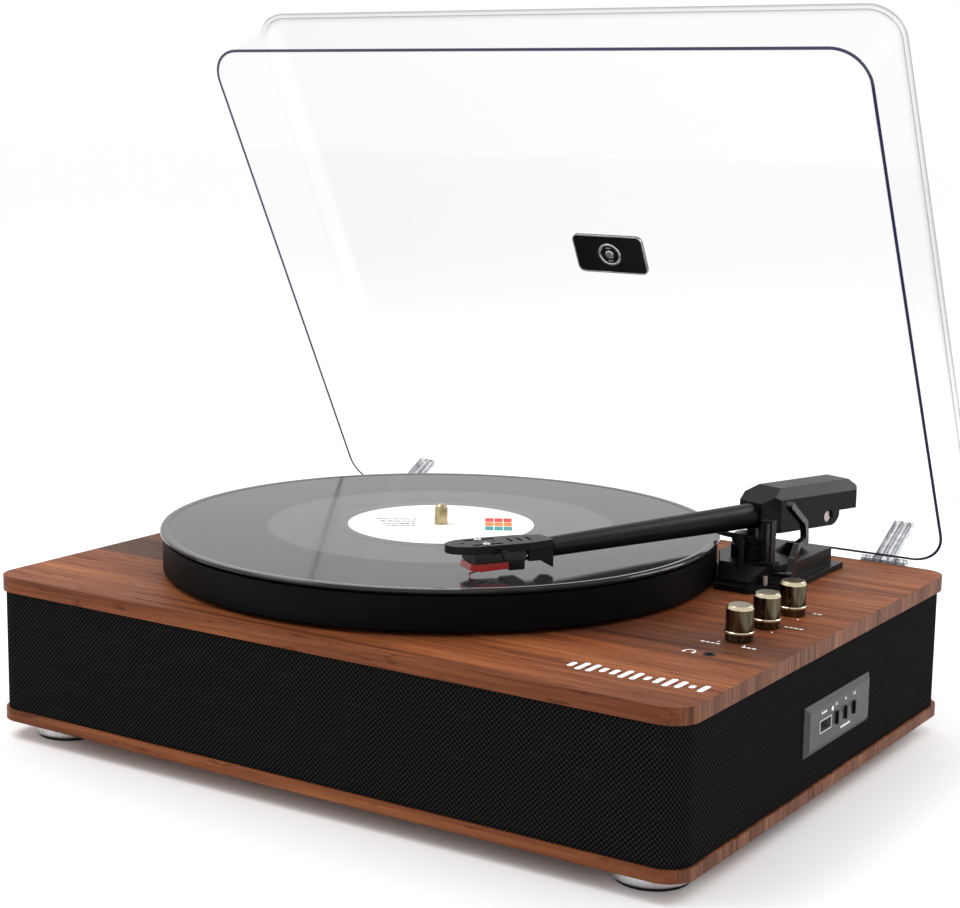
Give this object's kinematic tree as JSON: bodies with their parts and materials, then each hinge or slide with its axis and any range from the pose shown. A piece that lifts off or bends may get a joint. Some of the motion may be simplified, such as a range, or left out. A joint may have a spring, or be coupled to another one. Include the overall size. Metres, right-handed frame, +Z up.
{
  "type": "turntable record player",
  "caption": "Belt-drive record player in a walnut plinth with cloth-covered speakers, straight tonearm, three knobs and a hinged clear dust cover.",
  "frame": {"origin": "plinth centre on the floor, midway between the four feet", "axes": "+X to the right seen from the front, +Y to the hinge side at the back, +Z up"},
  "size_m": [0.4123, 0.3618, 0.3868],
  "materials": {
    "walnut": "satin",
    "walnut_base": "satin",
    "cabinet_black": "matte",
    "cloth": "woven",
    "white_print": "matte",
    "aluminium": "brushed",
    "rubber": "matte",
    "black_plastic": "satin",
    "gloss_black": "gloss",
    "steel": "satin",
    "brass": "antique",
    "chrome": "polished",
    "board_green": "satin",
    "paper_cone": "matte",
    "vinyl": "grooved gloss",
    "felt": "felt",
    "label": "paper",
    "red_plastic": "gloss",
    "clear_acrylic": "polished",
    "clear_plastic": "polished",
    "die_cast": "satin black paint"
  },
  "bodies": {
    "plinth": {"top_board": "walnut", "base_board": "walnut_base", "cabinet_shell": "cabinet_black", "speaker_cloth": "cloth", "front_inlay": "white_print", "control_marks": "white_print", "feet": "aluminium", "foot_pads": "rubber", "rear_panel": "black_plastic", "rear_sockets": "chrome", "headphone_jack": "gloss_black", "control_panel": "black_plastic", "usb_socket": "steel", "status_light": "white_print", "circuit_boards": "board_green", "left_speaker_frame": "steel", "left_speaker_cone": "paper_cone", "right_speaker_frame": "steel", "right_speaker_cone": "paper_cone", "motor_can": "steel", "drive_belt": "rubber", "bearing_housing": "aluminium", "thrust_ball": "steel", "control_bodies": "steel", "arm_base": "black_plastic", "arm_rest": "black_plastic", "hinge_bases": "clear_plastic", "hinge_pins": "steel", "cabinet_screws": "steel"},
    "platter": {"platter": "die_cast", "slip_mat": "felt", "spindle": "brass", "record": "vinyl", "record_label": "label"},
    "pulley": {"motor_shaft": "steel", "motor_pulley": "brass"},
    "arm_mount": {"arm_turret": "black_plastic"},
    "arm": {"arm_pivot_pin": "steel", "arm_tube": "black_plastic", "arm_housing": "black_plastic", "headshell": "black_plastic", "cartridge": "gloss_black", "stylus": "red_plastic", "cartridge_leads": "chrome", "counterweight": "chrome"},
    "cue_lever": {"cue_lever": "gloss_black"},
    "lift_platform": {"lift_platform": "black_plastic"},
    "speed_slider": {"speed_slider": "steel"},
    "cover": {"dust_cover": "clear_acrylic", "cover_badge": "gloss_black", "hinge_arms": "clear_plastic"},
    "volume": {"volume_knob": "brass", "volume_shaft": "steel"},
    "source": {"source_knob": "brass", "source_shaft": "steel"},
    "power": {"power_knob": "brass", "power_shaft": "steel"},
    "play_button": {"play_button": "gloss_black"},
    "next_button": {"next_button": "gloss_black"},
    "previous_button": {"previous_button": "gloss_black"}
  },
  "joints": [
    {"name": "platter_spin", "type": "hinge", "parent": "plinth", "child": "platter", "pos_m": [-0.0275, 0.0035, 0.088], "axis": [0, 0, 1], "continuous": true},
    {"name": "motor_spin", "type": "hinge", "parent": "plinth", "child": "pulley", "pos_m": [-0.08831, -0.05731, 0.088], "axis": [0, 0, 1], "continuous": true},
    {"name": "arm_swing", "type": "hinge", "parent": "plinth", "child": "arm_mount", "pos_m": [0.123, 0.079, 0.1], "axis": [0, 0, 1], "range_deg": [-21.5, 22.7]},
    {"name": "arm_raise", "type": "hinge", "parent": "arm_mount", "child": "arm", "pos_m": [0.12502, 0.08465, 0.1225], "axis": [-0.9415, 0.3371, 0], "range_deg": [0, 3.01]},
    {"name": "cue_lever_turn", "type": "hinge", "parent": "plinth", "child": "cue_lever", "pos_m": [0.1515, 0.0645, 0.0962], "axis": [1, 0, 0], "range_deg": [0, 35]},
    {"name": "platform_lift", "type": "slide", "parent": "plinth", "child": "lift_platform", "axis": [0, 0, 1], "range_m": [0, 0.0014]},
    {"name": "speed_slide", "type": "slide", "parent": "plinth", "child": "speed_slider", "axis": [0.4138, 0.9104, 0], "range_m": [0, 0.0035]},
    {"name": "cover_hinge", "type": "hinge", "parent": "plinth", "child": "cover", "pos_m": [0, 0.161, 0.087], "axis": [1, 0, 0], "range_deg": [0, 62]},
    {"name": "volume_turn", "type": "hinge", "parent": "plinth", "child": "volume", "pos_m": [0.173, -0.04, 0.088], "axis": [0, 0, 1], "range_deg": [-150, 150]},
    {"name": "source_turn", "type": "hinge", "parent": "plinth", "child": "source", "pos_m": [0.173, -0.01, 0.088], "axis": [0, 0, 1], "range_deg": [-60, 60]},
    {"name": "power_turn", "type": "hinge", "parent": "plinth", "child": "power", "pos_m": [0.173, 0.02, 0.088], "axis": [0, 0, 1], "range_deg": [0, 90]},
    {"name": "previous_press", "type": "slide", "parent": "plinth", "child": "previous_button", "axis": [-1, 0, 0], "range_m": [0, 0.001], "stiffness_N_per_m": 400},
    {"name": "play_press", "type": "slide", "parent": "plinth", "child": "play_button", "axis": [-1, 0, 0], "range_m": [0, 0.001], "stiffness_N_per_m": 400},
    {"name": "next_press", "type": "slide", "parent": "plinth", "child": "next_button", "axis": [-1, 0, 0], "range_m": [0, 0.001], "stiffness_N_per_m": 400}
  ],
  "couplings": [
    {"joint": "motor_spin", "follows": "platter_spin", "ratio": 10},
    {"joint": "arm_raise", "follows": "cue_lever_turn", "ratio": 0.085714},
    {"joint": "platform_lift", "follows": "cue_lever_turn", "m_per_rad": 0.0022706}
  ]
}
